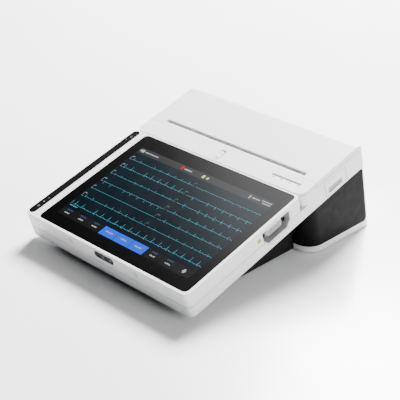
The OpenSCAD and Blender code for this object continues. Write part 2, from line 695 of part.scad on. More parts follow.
module platen_gear() color("ivory") slope() difference() {
    union() {
        gear(platen_teeth, idler_a, platen_c, gear_x[0] + 0.3, gear_x[1]);
        rod(platen_c[0], platen_c[1], 5, gear_x[1], gear_x[1] + 3);
    }
    rod(platen_c[0], platen_c[1], 2.5, gear_x[0] - 1, gear_x[1] + 4);
}

module idler_gear() color("ivory") slope() difference() {
    union() {
        gear(idler_teeth, idler_a0, idler_c, gear_x[0] + 0.5, gear_x[1] - 0.2);
        rod(idler_c[0], idler_c[1], 4, gear_x[0], gear_x[1]);
    }
    rod(idler_c[0], idler_c[1], 2 + running, gear_x[0] - 1, gear_x[1] + 1);
    for (a = [0:60:300]) rod(idler_c[0] + 7.2 * cos(a), idler_c[1] + 7.2 * sin(a), 2,
        gear_x[0] - 1, gear_x[1] + 1);
}

module idler_pin() color("silver") slope() {
    rod(idler_c[0], idler_c[1], 2, gear_x[0] - 1.5, print_x - cheek_x - cheek_t);
    rod(idler_c[0], idler_c[1], 3.2, gear_x[0] - 1.9, gear_x[0] - 0.6);
    rod(idler_c[0], idler_c[1], 3.2, gear_x[1] + 0.3, print_x - cheek_x - cheek_t);
}

motor_r = 12.4;
motor_x = [print_x - cheek_x, print_x - cheek_x + 24];
module stepper_motor() color("silver") slope() difference() {
    union() {
        rod(pinion_c[0], pinion_c[1], motor_r, motor_x[0], motor_x[1]);
        rod(pinion_c[0], pinion_c[1], 4.4, motor_x[0] - cheek_t - 0.4, motor_x[0]);
        on_side([[pinion_c[0] - 19, pinion_c[1] - 3.5], [pinion_c[0] + 19, pinion_c[1] - 3.5],
            [pinion_c[0] + 19, pinion_c[1] + 3.5], [pinion_c[0] - 19, pinion_c[1] + 3.5]],
            motor_x[0], motor_x[0] + 1);
    }
    rod(pinion_c[0], pinion_c[1], 1.5 + running, motor_x[0] - 5, motor_x[0] + 10);
}

module motor_pinion() color("goldenrod") slope() {
    gear(pinion_teeth, pinion_a0, pinion_c, gear_x[0] + 0.2, gear_x[1] + 0.2);
    rod(pinion_c[0], pinion_c[1], 1.5, gear_x[1], motor_x[0] + 9);
}

module printer_frame() color("#a9adb0") slope() difference() {
    union() {
        for (x = [print_x - cheek_x - cheek_t, print_x + cheek_x])
            on_side([[192, -10], [208, -10], [213, -14], [213, -18], [224, -24], [226, -44],
                [214, -56], [192, -56]], x, x + cheek_t);
        box(print_x - cheek_x, 192, -56, print_x + cheek_x, 212, -54.5);
        box(print_x - cheek_x, 200, -54.5, print_x + cheek_x, 201.2, -10);
        for (s = [-1, 1]) {
            box(latch_x + 16 * s - 3, 201.2, -10, latch_x + 16 * s + 3, 207.4, -9.2);
            box(latch_x + 16 * s - 3, 206.4, -9.2, latch_x + 16 * s + 3, 207.4, -6.6);
        }
    }
    // Openings for the motor, its boss and the head pins
    rod(pinion_c[0], pinion_c[1], 4.6, print_x - cheek_x - 2, print_x - cheek_x + 1);
    box(motor_x[0], pinion_c[0] - 20, pinion_c[1] - motor_r - 0.5, motor_x[1] + 1,
        pinion_c[0] + 20, pinion_c[1] + motor_r + 0.5);
    rod(head_c[0], head_c[1], 1.5, print_x - cheek_x - 3, print_x + cheek_x + 3);
}

head_c = [205.5, -26.5];
module head_pins() color("silver") slope() for (s = [-1, 1])
    rod(head_c[0], head_c[1], 1.5, print_x + s * 113.5 - 6, print_x + s * 113.5 + 6);

module head_heatsink() color("#9aa0a5") slope() difference() {
    union() {
        box(print_x - 110, 209, -29, print_x + 110, 214.6, -9.4);
        rod(head_c[0], head_c[1], 3, print_x - 112, print_x - 104);
        rod(head_c[0], head_c[1], 3, print_x + 104, print_x + 112);
        for (x = [print_x - 112, print_x + 104]) box(x, head_c[0], -28.5, x + 8, 211, -24.5);
    }
    for (w = [-28:4:-20]) box(print_x - 109, 208, w, print_x + 109, 211, w + 1.6);
    for (s = [-1, 1]) rod(head_c[0], head_c[1], 1.5 + running, print_x + s * 108 - 5, print_x + s * 108 + 5);
}

module print_head() color("#d8d2c4") slope() union() {
    box(print_x - 109, 214.6, -24, print_x + 109, 216.4, -9.4);
    box(print_x - 106, 216.4, -14, print_x + 106, 217.1, -10.5);
}

// Coil springs along the slope, each as the tube that its turns fill
module spring_tube(x, v0, v1, w, r, wire) translate([x, v0, w]) rotate([-90, 0, 0]) difference() {
    cylinder(r = r, h = v1 - v0);
    translate([0, 0, -1]) cylinder(r = r - wire, h = v1 - v0 + 2);
}

module head_springs() color("silver") slope()
    for (x = [-80, -28, 28, 80]) spring_tube(print_x + x, 201.2, 209, -15.6, 1.1, 0.5);

module tear_bar() color("silver") slope() translate([0, slot_v0 + 0.5, 0]) rotate([90, 0, 0])
    linear_extrude(0.5) polygon(concat(
        [[slot_x0 + 1, -2.4]],
        [for (i = [0:73]) each [[slot_x0 + 1 + 2.9725 * i, -1.4], [slot_x0 + 2.5 + 2.9725 * i, -0.4]]],
        [[slot_x1 - 1, -1.4], [slot_x1 - 1, -2.4]]));

module latch_button() color("white") slope() difference() {
    union() {
        round_box(latch_x - 3.5, latch_v[0] + 0.4, -1.8, latch_x + 3.5, latch_v[1] - latch_travel - 0.4,
            0.3, 3.4);
        box(latch_x - 1.7, stem_v[0], -6.9, latch_x + 1.7, stem_v[1], -1.8);
    }
    // Sighting hole at the front, and a shallow finger dish
    translate([latch_x, latch_v[0] + 3.6, -0.9]) cylinder(r = 1.1, h = 2);
    translate([latch_x, latch_v[0] + 10.4, 14.6]) sphere(r = 14.7);
}

module latch_bar() color("#c8c8c4") slope() {
    box(latch_x - 62, 188, -8.4, latch_x + 62, 196, -6.9);
    for (s = [-1, 1]) {
        box(latch_x + 58 * s - 4, 196, -8.4, latch_x + 58 * s + 4, 206, -6.9);
        box(latch_x + 58 * s - 4, 204.6, -6.9, latch_x + 58 * s + 4, 206, -5.5);
    }
}

module latch_spring() color("silver") slope()
    for (s = [-1, 1]) spring_tube(latch_x + 16 * s, 196, 206.4, -7.7, 1, 0.4);

// ---- Paper supply ----

roll_c = [256, -38];
roll_hw = 105;
stub_r = 4;
bay_hw = 107;
bay_t = 2;
bay_in = roll_r + 3;
bay_top = -25;

module paper_bay() color("#4a4c50") slope() difference() {
    union() {
        rod(roll_c[0], roll_c[1], bay_in + bay_t, print_x - bay_hw - bay_t, print_x + bay_hw + bay_t);
        box(print_x - bay_hw - bay_t, roll_c[0] - bay_in - bay_t, roll_c[1],
            print_x + bay_hw + bay_t, roll_c[0] + bay_in + bay_t, bay_top);
    }
    rod(roll_c[0], roll_c[1], bay_in, print_x - bay_hw, print_x + bay_hw);
    box(print_x - bay_hw, roll_c[0] - bay_in, roll_c[1], print_x + bay_hw, roll_c[0] + bay_in, 10);
    box(print_x - 200, roll_c[0] - 60, bay_top, print_x + 200, roll_c[0] + 60, 10);
    // Notches for the ends of the roll's core
    rod(roll_c[0], roll_c[1], stub_r + running, print_x - 120, print_x + 120);
    box(print_x - 120, roll_c[0] - stub_r - running, roll_c[1], print_x + 120,
        roll_c[0] + stub_r + running, 10);
}

module paper_roll() color("#f4f1ea") slope() difference() {
    rod(roll_c[0], roll_c[1], roll_r, print_x - roll_hw, print_x + roll_hw);
    rod(roll_c[0], roll_c[1], 8, print_x - roll_hw - 1, print_x + roll_hw + 1);
}

module roll_core() color("#b89a70") slope() {
    rod(roll_c[0], roll_c[1], 8, print_x - roll_hw, print_x + roll_hw);
    rod(roll_c[0], roll_c[1], stub_r, print_x - bay_hw - bay_t, print_x + bay_hw + bay_t);
}

// ---- Paper door, its frame and the platen ----

module paper_door() color("white") difference() {
    union() {
        difference() {
            intersection() {
                block(0);
                door_region(-hw - 1, hw + 1, door_v0);
            }
            block(wall);
            slope() box(slot_x0 - 1, 200, -30, slot_x1 + 1, slot_v1, 5);
        }
        // Turned down edge along the paper slot
        slope() box(slot_x0 - 1, slot_v1, -4.4, slot_x1 + 1, slot_v1 + 1.4, -wall + 0.5);
        translate([rear_r - hw, hinge[0], hinge[1]]) rotate([0, 90, 0])
            cylinder(r = barrel_r, h = body_w - 2 * rear_r);
    }
    // Gaps for the lugs, and bores for the door pins
    for (s = [-1, 1]) translate([s * lug_x - lug_w / 2 - fit, hinge[0] - 5.2, hinge[1] - 6])
        cube([lug_w + 2 * fit, 10.4, 10.4]);
    for (s = [-1, 1]) translate([s * lug_x - lug_w, hinge[0], hinge[1]]) rotate([0, 90, 0])
        cylinder(r = 1.5 + running, h = 2 * lug_w);
}

module door_pins() color("silver") for (s = [-1, 1])
    translate([s * lug_x - lug_w + 0.5, hinge[0], hinge[1]]) rotate([0, 90, 0])
        cylinder(r = 1.5, h = 2 * lug_w - 1);

arm_x = [-114.5, 110.5];
arm_t = 4;
module door_frame() color("#8b8e92") slope() difference() {
    union() {
        for (x = arm_x) {
            rod(platen_c[0], platen_c[1], 6.8, print_x + x, print_x + x + arm_t);
            box(print_x + x, platen_c[0] - 4, platen_c[1], print_x + x + arm_t, platen_c[0] + 12, -wall);
        }
        // Ribs under the door
        for (v = [236, 252, 268]) box(print_x - 112, v, -4.5, print_x + 112, v + 2, -wall);
        for (x = [-100:40:100]) box(print_x + x - 1, 233, -4.5, print_x + x + 1, 272, -wall);
        box(print_x - 110.5, 232, -6.5, print_x + 110.5, 234, -wall);
    }
    for (x = arm_x) rod(platen_c[0], platen_c[1], 4.2, print_x + x - 1, print_x + x + arm_t + 1);
}

module platen_bushes() color("#5a4632") slope() for (x = arm_x) difference() {
    rod(platen_c[0], platen_c[1], 4.2, print_x + x, print_x + x + arm_t);
    rod(platen_c[0], platen_c[1], 2.5 + running, print_x + x - 1, print_x + x + arm_t + 1);
}

module platen_shaft() color("silver") slope()
    rod(platen_c[0], platen_c[1], 2.5, gear_x[0] + 0.3, print_x + 117);

module platen_rubber() color("#2a2a2a") slope() difference() {
    rod(platen_c[0], platen_c[1], platen_r, print_x - 108, print_x + 108);
    rod(platen_c[0], platen_c[1], 2.5, print_x - 109, print_x + 109);
}

lower_case();
display_frame();
display_glass();
display_panel();
indicator_strip();
power_key();
front_window();
front_plugs();
printer_deck();
deck_lights();
rear_box();
rear_band();
base_wedge();
battery_cover();
battery_pack();
rubber_feet();
case_screws();
connector_shell();
connector_insert();
connector_contacts();
jack_screws();
side_ports();
port_flap();
flap_pins();
mains_inlet();
inlet_pins();
earth_post();
network_socket();
usb_sockets();
main_board();
acquisition_board();
power_board();
speaker();
paper_bay();
printer_frame();
tear_bar();
stepper_motor();
motor_pinion();
idler_gear();
idler_pin();
print_head();
head_heatsink();
head_pins();
head_springs();
paper_door();
door_frame();
door_pins();
platen_shaft();
platen_rubber();
platen_gear();
platen_bushes();
paper_roll();
roll_core();
latch_button();
latch_bar();
latch_spring();
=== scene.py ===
"""Looks of the desk-top ECG machine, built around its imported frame. Lengths are in metres."""

import json
import math
import random

import bmesh
import bpy
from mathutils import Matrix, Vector


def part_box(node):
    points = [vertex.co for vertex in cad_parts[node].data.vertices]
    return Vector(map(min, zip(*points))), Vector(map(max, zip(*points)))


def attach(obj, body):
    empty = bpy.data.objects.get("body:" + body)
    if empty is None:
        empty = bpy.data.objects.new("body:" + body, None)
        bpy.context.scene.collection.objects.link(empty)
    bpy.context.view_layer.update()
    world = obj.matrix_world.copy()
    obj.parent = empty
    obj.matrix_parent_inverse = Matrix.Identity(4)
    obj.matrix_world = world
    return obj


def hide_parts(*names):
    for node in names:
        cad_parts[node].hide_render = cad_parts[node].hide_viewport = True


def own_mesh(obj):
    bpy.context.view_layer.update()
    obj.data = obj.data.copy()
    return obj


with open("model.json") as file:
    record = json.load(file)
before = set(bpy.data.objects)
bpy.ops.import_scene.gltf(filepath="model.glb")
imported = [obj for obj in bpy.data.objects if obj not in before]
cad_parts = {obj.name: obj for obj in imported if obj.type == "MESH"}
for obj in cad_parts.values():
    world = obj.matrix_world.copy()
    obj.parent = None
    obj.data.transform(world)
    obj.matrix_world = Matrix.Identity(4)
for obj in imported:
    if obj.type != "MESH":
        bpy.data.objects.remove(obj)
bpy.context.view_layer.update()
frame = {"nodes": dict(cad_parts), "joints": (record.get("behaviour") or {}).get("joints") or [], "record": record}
NODES = frame["nodes"]
JOINTS = {j["name"]: j for j in frame["joints"]}
MM = 0.001

# ---------------------------------------------------------------- frames of the object

_ax = JOINTS["latch_slide"]["axis"]
TILT = math.atan2(_ax[2], _ax[1])
COS, SIN = math.cos(TILT), math.sin(TILT)


def glass_corner():
    """Front left top corner of the glass, from its box."""
    lo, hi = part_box("display_glass")
    dy, dz = hi.y - lo.y, hi.z - lo.z
    length = (dy * COS - dz * SIN) / (COS * COS - SIN * SIN)
    return Vector((lo.x, lo.y, hi.z - length * SIN))


CORNER = glass_corner()


def at(u, v, w=0.0):
    """A point in mm on the slope: u right and v up the slope from the glass's corner, w off its face."""
    y, z = v * COS - w * SIN, v * SIN + w * COS
    return CORNER + Vector((u, y, z)) * MM


# ---------------------------------------------------------------- materials


def new_material(name):
    m = bpy.data.materials.new(name)
    m.use_nodes = True
    return m, m.node_tree, m.node_tree.nodes["Principled BSDF"]


def ramp(nt, source, stops):
    node = nt.nodes.new("ShaderNodeValToRGB")
    node.color_ramp.elements[0].position = stops[0][0]
    node.color_ramp.elements[0].color = (*stops[0][1], 1)
    node.color_ramp.elements[1].position = stops[-1][0]
    node.color_ramp.elements[1].color = (*stops[-1][1], 1)
    for pos, col in stops[1:-1]:
        node.color_ramp.elements.new(pos).color = (*col, 1)
    nt.links.new(source, node.inputs["Fac"])
    return node.outputs["Color"]


def noise(nt, coords, scale, detail=4.0, rough=0.55, stretch=None):
    if stretch:
        mapping = nt.nodes.new("ShaderNodeMapping")
        mapping.inputs["Scale"].default_value = stretch
        nt.links.new(coords, mapping.inputs["Vector"])
        coords = mapping.outputs["Vector"]
    node = nt.nodes.new("ShaderNodeTexNoise")
    node.inputs["Scale"].default_value = scale
    node.inputs["Detail"].default_value = detail
    node.inputs["Roughness"].default_value = rough
    nt.links.new(coords, node.inputs["Vector"])
    return node.outputs["Fac"]


def spread(nt, source, lo, hi):
    node = nt.nodes.new("ShaderNodeMapRange")
    node.inputs["From Min"].default_value = 0.3
    node.inputs["From Max"].default_value = 0.7
    node.inputs["To Min"].default_value = lo
    node.inputs["To Max"].default_value = hi
    nt.links.new(source, node.inputs["Value"])
    return node.outputs["Result"]


def bump(nt, bsdf, source, strength, distance, under=None):
    node = nt.nodes.new("ShaderNodeBump")
    node.inputs["Strength"].default_value = strength
    node.inputs["Distance"].default_value = distance
    nt.links.new(source, node.inputs["Height"])
    if under:
        nt.links.new(under, node.inputs["Normal"])
    nt.links.new(node.outputs["Normal"], bsdf.inputs["Normal"])
    return node.outputs["Normal"]


def shade(col, f):
    return tuple(min(1.0, c * f) for c in col)


def surface(name, col, rough, metal=0.0, mottle=0.03, mottle_scale=35.0, grain=0.0, grain_scale=1800.0,
            rough_vary=0.06, stretch=None, coat=0.0, specular=0.5, depth=0.0002, soften=0.0):
    """A moulded, machined or painted surface with mottled colour, uneven gloss, fine grain and soft edges."""
    m, nt, bsdf = new_material(name)
    coords = nt.nodes.new("ShaderNodeTexCoord").outputs["Object"]
    slow = noise(nt, coords, mottle_scale, 5.0)
    colour = ramp(nt, slow, [(0.3, shade(col, 1 - mottle)), (0.7, shade(col, 1 + mottle))])
    nt.links.new(colour, bsdf.inputs["Base Color"])
    fine = noise(nt, coords, grain_scale, 3.0, 0.6, stretch)
    nt.links.new(spread(nt, noise(nt, coords, mottle_scale * 3, 4.0), rough - rough_vary, rough + rough_vary),
                 bsdf.inputs["Roughness"])
    soft_edge = None
    if soften:
        node = nt.nodes.new("ShaderNodeBevel")
        node.samples = 6
        node.inputs["Radius"].default_value = soften * MM
        soft_edge = node.outputs["Normal"]
        nt.links.new(soft_edge, bsdf.inputs["Normal"])
    if grain:
        bump(nt, bsdf, fine, grain, depth, soft_edge)
    bsdf.inputs["Metallic"].default_value = metal
    bsdf.inputs["Specular IOR Level"].default_value = specular
    if coat:
        bsdf.inputs["Coat Weight"].default_value = coat
        bsdf.inputs["Coat Roughness"].default_value = 0.08
    return m


def glow(name, col, strength, base=0.5, rough=0.12, vary=0.08, scale=500.0):
    """A lit part of the screen: its colour comes from behind the glass, so the gloss lies on top of it."""
    m, nt, bsdf = new_material(name)
    coords = nt.nodes.new("ShaderNodeTexCoord").outputs["Object"]
    fac = noise(nt, coords, scale, 2.0)
    light = ramp(nt, fac, [(0.35, shade(col, 1 - vary)), (0.65, shade(col, 1 + vary))])
    nt.links.new(light, bsdf.inputs["Emission Color"])
    bsdf.inputs["Emission Strength"].default_value = strength
    bsdf.inputs["Base Color"].default_value = (*shade(col, base), 1)
    bsdf.inputs["Specular IOR Level"].default_value = 0.9
    nt.links.new(spread(nt, noise(nt, coords, 60.0), rough - 0.02, rough + 0.03), bsdf.inputs["Roughness"])
    return m


def paint_screen_field():
    """The screen's dark blue-green field, which lightens a little towards the rear."""
    m, nt, bsdf = new_material("screen_field")
    coords = nt.nodes.new("ShaderNodeTexCoord").outputs["Object"]
    split = nt.nodes.new("ShaderNodeSeparateXYZ")
    nt.links.new(coords, split.inputs[0])
    lo, hi = at(14.5, 31.5), at(229, 148.5)
    run = nt.nodes.new("ShaderNodeMapRange")
    run.inputs["From Min"].default_value = lo.y
    run.inputs["From Max"].default_value = hi.y
    nt.links.new(split.outputs["Y"], run.inputs["Value"])
    tint = ramp(nt, run.outputs["Result"], [(0.0, (0.0001, 0.0070, 0.0130)), (0.55, (0.0001, 0.0082, 0.0156)),
                                            (1.0, (0.0002, 0.0092, 0.0172))])
    nt.links.new(tint, bsdf.inputs["Emission Color"])
    bsdf.inputs["Emission Strength"].default_value = 1.0
    bsdf.inputs["Base Color"].default_value = (0.001, 0.0018, 0.0022, 1)
    bsdf.inputs["Specular IOR Level"].default_value = 0.9
    nt.links.new(spread(nt, noise(nt, coords, 50.0), 0.1, 0.16), bsdf.inputs["Roughness"])
    return m


WHITE = (0.80, 0.805, 0.81)
MATS = {
    "white": surface("white_plastic", WHITE, 0.42, grain=0.16, mottle=0.012, grain_scale=2600, soften=1.5),
    "white_trim": surface("white_trim", (0.6, 0.605, 0.61), 0.38, grain=0.1, mottle=0.015, grain_scale=2600),
    # this grey is painted shade: it stands in for the shade in the connector's pocket and in the flap's finger
    # pull
    "painted_shade": surface("painted_recess_shade", (0.3, 0.302, 0.306), 0.5, grain=0.1, mottle=0.03, grain_scale=2600),
    "screw_dark": surface("black_steel", (0.04, 0.04, 0.043), 0.4, metal=1.0, grain=0.1, grain_scale=1200),
    "dark": surface("dark_plastic", (0.0024, 0.0024, 0.0027), 0.55, grain=0.14, mottle=0.02, grain_scale=2200,
                    specular=0.07, soften=0.7),
    "black": surface("black_plastic", (0.0045, 0.0046, 0.005), 0.55, grain=0.2, mottle=0.03, grain_scale=2000,
                     specular=0.14, soften=0.7),
    "gloss": surface("black_gloss", (0.006, 0.006, 0.0064), 0.12, mottle=0.1, rough_vary=0.03, grain=0.02,
                     grain_scale=300, specular=0.7),
    "glass": surface("cover_glass", (0.0018, 0.0018, 0.002), 0.1, mottle=0.06, rough_vary=0.02, grain=0.01,
                     grain_scale=220, specular=0.9),
    "panel": surface("display_module", (0.45, 0.46, 0.47), 0.35, metal=1.0, grain=0.2, grain_scale=900,
                     stretch=(1, 12, 1)),
    "light": surface("light_pipe", (0.004, 0.0042, 0.0045), 0.4, mottle=0.1, specular=0.15),
    "grey": surface("grey_plastic", (0.075, 0.079, 0.083), 0.45, grain=0.2, mottle=0.05),
    "gear": surface("cream_gear", (0.66, 0.6, 0.45), 0.36, grain=0.08, mottle=0.05),
    "bronze": surface("bronze", (0.32, 0.2, 0.11), 0.42, metal=1.0, grain=0.25, grain_scale=1500,
                      mottle=0.12),
    "brass": surface("brass", (0.75, 0.55, 0.22), 0.24, metal=1.0, grain=0.1, grain_scale=1200, mottle=0.06),
    "steel": surface("steel", (0.62, 0.63, 0.64), 0.28, metal=1.0, grain=0.15, grain_scale=1200,
                     stretch=(12, 1, 1)),
    "zinc": surface("zinc_sheet", (0.55, 0.56, 0.56), 0.36, metal=1.0, mottle=0.16, mottle_scale=90,
                    grain=0.1, grain_scale=600),
    "tin": surface("tin_plate", (0.7, 0.7, 0.69), 0.24, metal=1.0, grain=0.08, grain_scale=900, mottle=0.06),
    "insert": surface("insert_plastic", (0.56, 0.56, 0.53), 0.4, grain=0.1, mottle=0.03),
    "heatsink": surface("heatsink", (0.6, 0.61, 0.63), 0.34, metal=1.0, grain=0.2, grain_scale=800,
                        stretch=(1, 14, 14)),
    "ceramic": surface("head_ceramic", (0.66, 0.63, 0.56), 0.2, grain=0.05, mottle=0.04),
    "rubber": surface("rubber", (0.018, 0.018, 0.019), 0.72, grain=0.35, grain_scale=1600, mottle=0.14),
    "board": surface("board", (0.02, 0.12, 0.06), 0.3, grain=0.3, grain_scale=500, mottle=0.15,
                     mottle_scale=220),
    "wrap": surface("battery_wrap", (0.03, 0.13, 0.3), 0.24, grain=0.15, grain_scale=160, mottle=0.08),
    "paper": surface("paper", (0.82, 0.81, 0.78), 0.62, grain=0.25, grain_scale=1100, mottle=0.02,
                     stretch=(1, 10, 10)),
    "card": surface("card", (0.42, 0.31, 0.2), 0.8, grain=0.4, grain_scale=700, mottle=0.12),
    "icon": surface("icon_print", (0.52, 0.53, 0.54), 0.4, mottle=0.05, grain=0.05),
    "icon_dark": surface("icon_print_dark", (0.22, 0.225, 0.23), 0.4, mottle=0.05, grain=0.05),
    "lime": surface("lime_print", (0.25, 0.30, 0.02), 0.36, mottle=0.06, grain=0.05),
    "field": paint_screen_field(),
    "header": glow("screen_header", (0.020, 0.0205, 0.021), 0.6, rough=0.14),
    "menu": glow("screen_menu", (0.006, 0.0062, 0.007), 0.6, rough=0.14),
    "blue": glow("screen_blue", (0.017, 0.118, 1.0), 0.64, base=0.2, vary=0.03),
    "trace": glow("screen_trace", (0.09, 0.42, 0.56), 0.9, base=0.2),
    "text": glow("screen_text", (0.42, 0.46, 0.48), 0.6, base=0.3),
    "mark": glow("screen_mark", (0.20, 0.23, 0.25), 0.5, base=0.3),
    "faint": glow("screen_faint", (0.08, 0.10, 0.115), 0.5, base=0.3),
    "dim": glow("screen_dim", (0.022, 0.032, 0.075), 0.7),
    "red": glow("screen_red", (0.6, 0.008, 0.014), 0.45, base=0.2),
    "lime_light": glow("screen_lime", (0.42, 0.62, 0.06), 0.6),
}

SLOT_MATS = {
    "white_plastic": "white", "white_trim": "white_trim", "dark_plastic": "dark", "black_plastic": "black",
    "black_gloss": "gloss", "cover_glass": "glass", "display_module": "panel", "light_pipe": "light",
    "grey_plastic": "grey", "cream_gear": "gear", "bronze": "bronze", "brass": "brass", "steel": "steel",
    "zinc_sheet": "zinc", "tin_plate": "tin", "black_steel": "screw_dark",
    "insert_plastic": "insert", "heatsink": "heatsink",
    "head_ceramic": "ceramic", "rubber": "rubber", "board": "board", "battery_wrap": "wrap", "paper": "paper",
    "card": "card",
}

# ---------------------------------------------------------------- the CAD nodes

BEVELS = {
    "base_wedge": 0.8, "port_flap": 0.3, "display_glass": 0.5, "indicator_strip": 0.3,
    "power_key": 0.3, "front_window": 0.25, "front_plugs": 0.2, "latch_button": 0.35, "battery_cover": 0.3,
    "rubber_feet": 0.3, "mains_inlet": 0.3, "connector_shell": 0.15, "jack_screws": 0.15, "door_frame": 0.3,
    "paper_bay": 0.5, "print_head": 0.3, "head_heatsink": 0.25, "printer_frame": 0.3, "stepper_motor": 0.4,
    "connector_insert": 0.15, "side_ports": 0.25, "network_socket": 0.15, "usb_sockets": 0.15,
    "earth_post": 0.3, "paper_roll": 0.4, "latch_bar": 0.2, "main_board": 0.15, "acquisition_board": 0.15,
    "power_board": 0.2, "battery_pack": 0.5, "speaker": 0.3, "display_panel": 0.4,
}


def sharp_edges_group(angle):
    """Edges steeper than the angle stay crisp; everything else shades smooth."""
    group = bpy.data.node_groups.new("crisp_edges", "GeometryNodeTree")
    group.interface.new_socket("Geometry", in_out="INPUT", socket_type="NodeSocketGeometry")
    group.interface.new_socket("Geometry", in_out="OUTPUT", socket_type="NodeSocketGeometry")
    start, end = group.nodes.new("NodeGroupInput"), group.nodes.new("NodeGroupOutput")
    smooth = group.nodes.new("GeometryNodeSetShadeSmooth")
    smooth.domain = "EDGE"
    smooth.inputs["Shade Smooth"].default_value = False
    fold = group.nodes.new("GeometryNodeInputMeshEdgeAngle")
    steep = group.nodes.new("FunctionNodeCompare")
    steep.operation = "GREATER_THAN"
    steep.inputs[1].default_value = angle
    group.links.new(fold.outputs["Unsigned Angle"], steep.inputs[0])
    group.links.new(steep.outputs["Result"], smooth.inputs["Selection"])
    group.links.new(start.outputs[0], smooth.inputs["Geometry"])
    group.links.new(smooth.outputs["Geometry"], end.inputs[0])
    return group


CRISP = sharp_edges_group(math.radians(32))


def dress(name, obj, slot):
    """Gives a CAD node its material, a small round on its edges if BEVELS names it, and crisp shading."""
    obj.data.materials.clear()
    obj.data.materials.append(MATS[SLOT_MATS[slot]])
    for p in obj.data.polygons:
        p.use_smooth = True
    weld = obj.modifiers.new("weld", "WELD")
    weld.merge_threshold = 1e-5
    if name in BEVELS:
        bev = obj.modifiers.new("edge", "BEVEL")
        bev.width = BEVELS[name] * MM
        bev.segments = 3
        bev.limit_method = "ANGLE"
        bev.angle_limit = math.radians(38)
        bev.use_clamp_overlap = True
        bev.harden_normals = False
        bev.miter_outer = "MITER_ARC"
    obj.modifiers.new("crisp", "NODES").node_group = CRISP
    normals = obj.modifiers.new("normals", "WEIGHTED_NORMAL")
    normals.keep_sharp = True
    normals.weight = 80


SLOTS = {s["node"]: s["material_slot"] for s in frame["record"]["subparts"]}
for node_name, node_obj in NODES.items():
    dress(node_name, node_obj, SLOTS[node_name])

# ---------------------------------------------------------------- piece makers


def add_piece(name, bm, mat, body="root", smooth=False):
    mesh = bpy.data.meshes.new(name)
    bmesh.ops.recalc_face_normals(bm, faces=bm.faces)
    bm.to_mesh(mesh)
    bm.free()
    for p in mesh.polygons:
        p.use_smooth = smooth
    obj = bpy.data.objects.new(name, mesh)
    bpy.context.scene.collection.objects.link(obj)
    mesh.materials.append(MATS[mat])
    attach(obj, body)
    return obj


def slab(bm, points, w0, w1):
    """A thin plate on the slope: an outline in mm, from height w0 to w1."""
    low = [bm.verts.new(at(u, v, w0)) for u, v in points]
    top = [bm.verts.new(at(u, v, w1)) for u, v in points]
    bm.faces.new(top)
    bm.faces.new(list(reversed(low)))
    n = len(points)
    for i in range(n):
        bm.faces.new((low[i], low[(i + 1) % n], top[(i + 1) % n], top[i]))


def rounded(u0, v0, u1, v1, r, n=4):
    """The outline of a rectangle with round corners."""
    corners = ((u1 - r, v0 + r, -90), (u1 - r, v1 - r, 0), (u0 + r, v1 - r, 90), (u0 + r, v0 + r, 180))
    pts = []
    for cx, cy, a0 in corners:
        for i in range(n + 1):
            a = math.radians(a0 + 90 * i / n)
            pts.append((cx + r * math.cos(a), cy + r * math.sin(a)))
    return pts


def flat_ring(bm, place, mid, outer, inner, depths):
    """A thin flat ring round mid. place(across, up, depth) gives the point in space."""
    turns = [math.radians(a) for a in range(0, 360, 24)]
    loops = []
    for depth in depths:
        for r in (outer, inner):
            spots = [(mid[0] + r * math.cos(a), mid[1] + r * math.sin(a)) for a in turns]
            loops.append([bm.verts.new(place(x, y, depth)) for x, y in spots])
    for one, two in ((0, 1), (1, 3), (3, 2), (2, 0)):
        for i in range(len(turns)):
            j = (i + 1) % len(turns)
            bm.faces.new((loops[one][i], loops[one][j], loops[two][j], loops[two][i]))


def ribbon(bm, line, width, w0, w1):
    """A line of even width through the points."""
    left, right = [], []
    for i, (x, y) in enumerate(line):
        a = line[max(i - 1, 0)]
        b = line[min(i + 1, len(line) - 1)]
        dx, dy = b[0] - a[0], b[1] - a[1]
        k = width / 2 / max(math.hypot(dx, dy), 1e-9)
        left.append((x - dy * k, y + dx * k))
        right.append((x + dy * k, y - dx * k))
    rows = [[bm.verts.new(at(u, v, w)) for u, v in side] for side in (left, right) for w in (w1, w0)]
    lt, lb, rt, rb = rows
    for i in range(len(line) - 1):
        bm.faces.new((lt[i], rt[i], rt[i + 1], lt[i + 1]))
        bm.faces.new((lb[i], lb[i + 1], rb[i + 1], rb[i]))
        bm.faces.new((lt[i], lt[i + 1], lb[i + 1], lb[i]))
        bm.faces.new((rt[i], rb[i], rb[i + 1], rt[i + 1]))
    for i in (0, -1):
        bm.faces.new((lt[i], lb[i], rb[i], rt[i]))


# ---------------------------------------------------------------- the screen's picture

FIELD = (14.5, 16.9, 229.1, 158.9)
HEAD_V = 148.4
MENU_V = 31.5
SKIN = 0.03


def screen_field():
    """The dark field and the header above it."""
    bm = bmesh.new()
    slab(bm, [(FIELD[0], MENU_V), (FIELD[2], MENU_V), (FIELD[2], HEAD_V), (FIELD[0], HEAD_V)], 0.0, SKIN)
    add_piece("screen_field", bm, "field")
    bm = bmesh.new()
    slab(bm, [(FIELD[0], HEAD_V), (FIELD[2], HEAD_V), (FIELD[2], FIELD[3]), (FIELD[0], FIELD[3])], 0.0, SKIN)
    add_piece("screen_header", bm, "header")


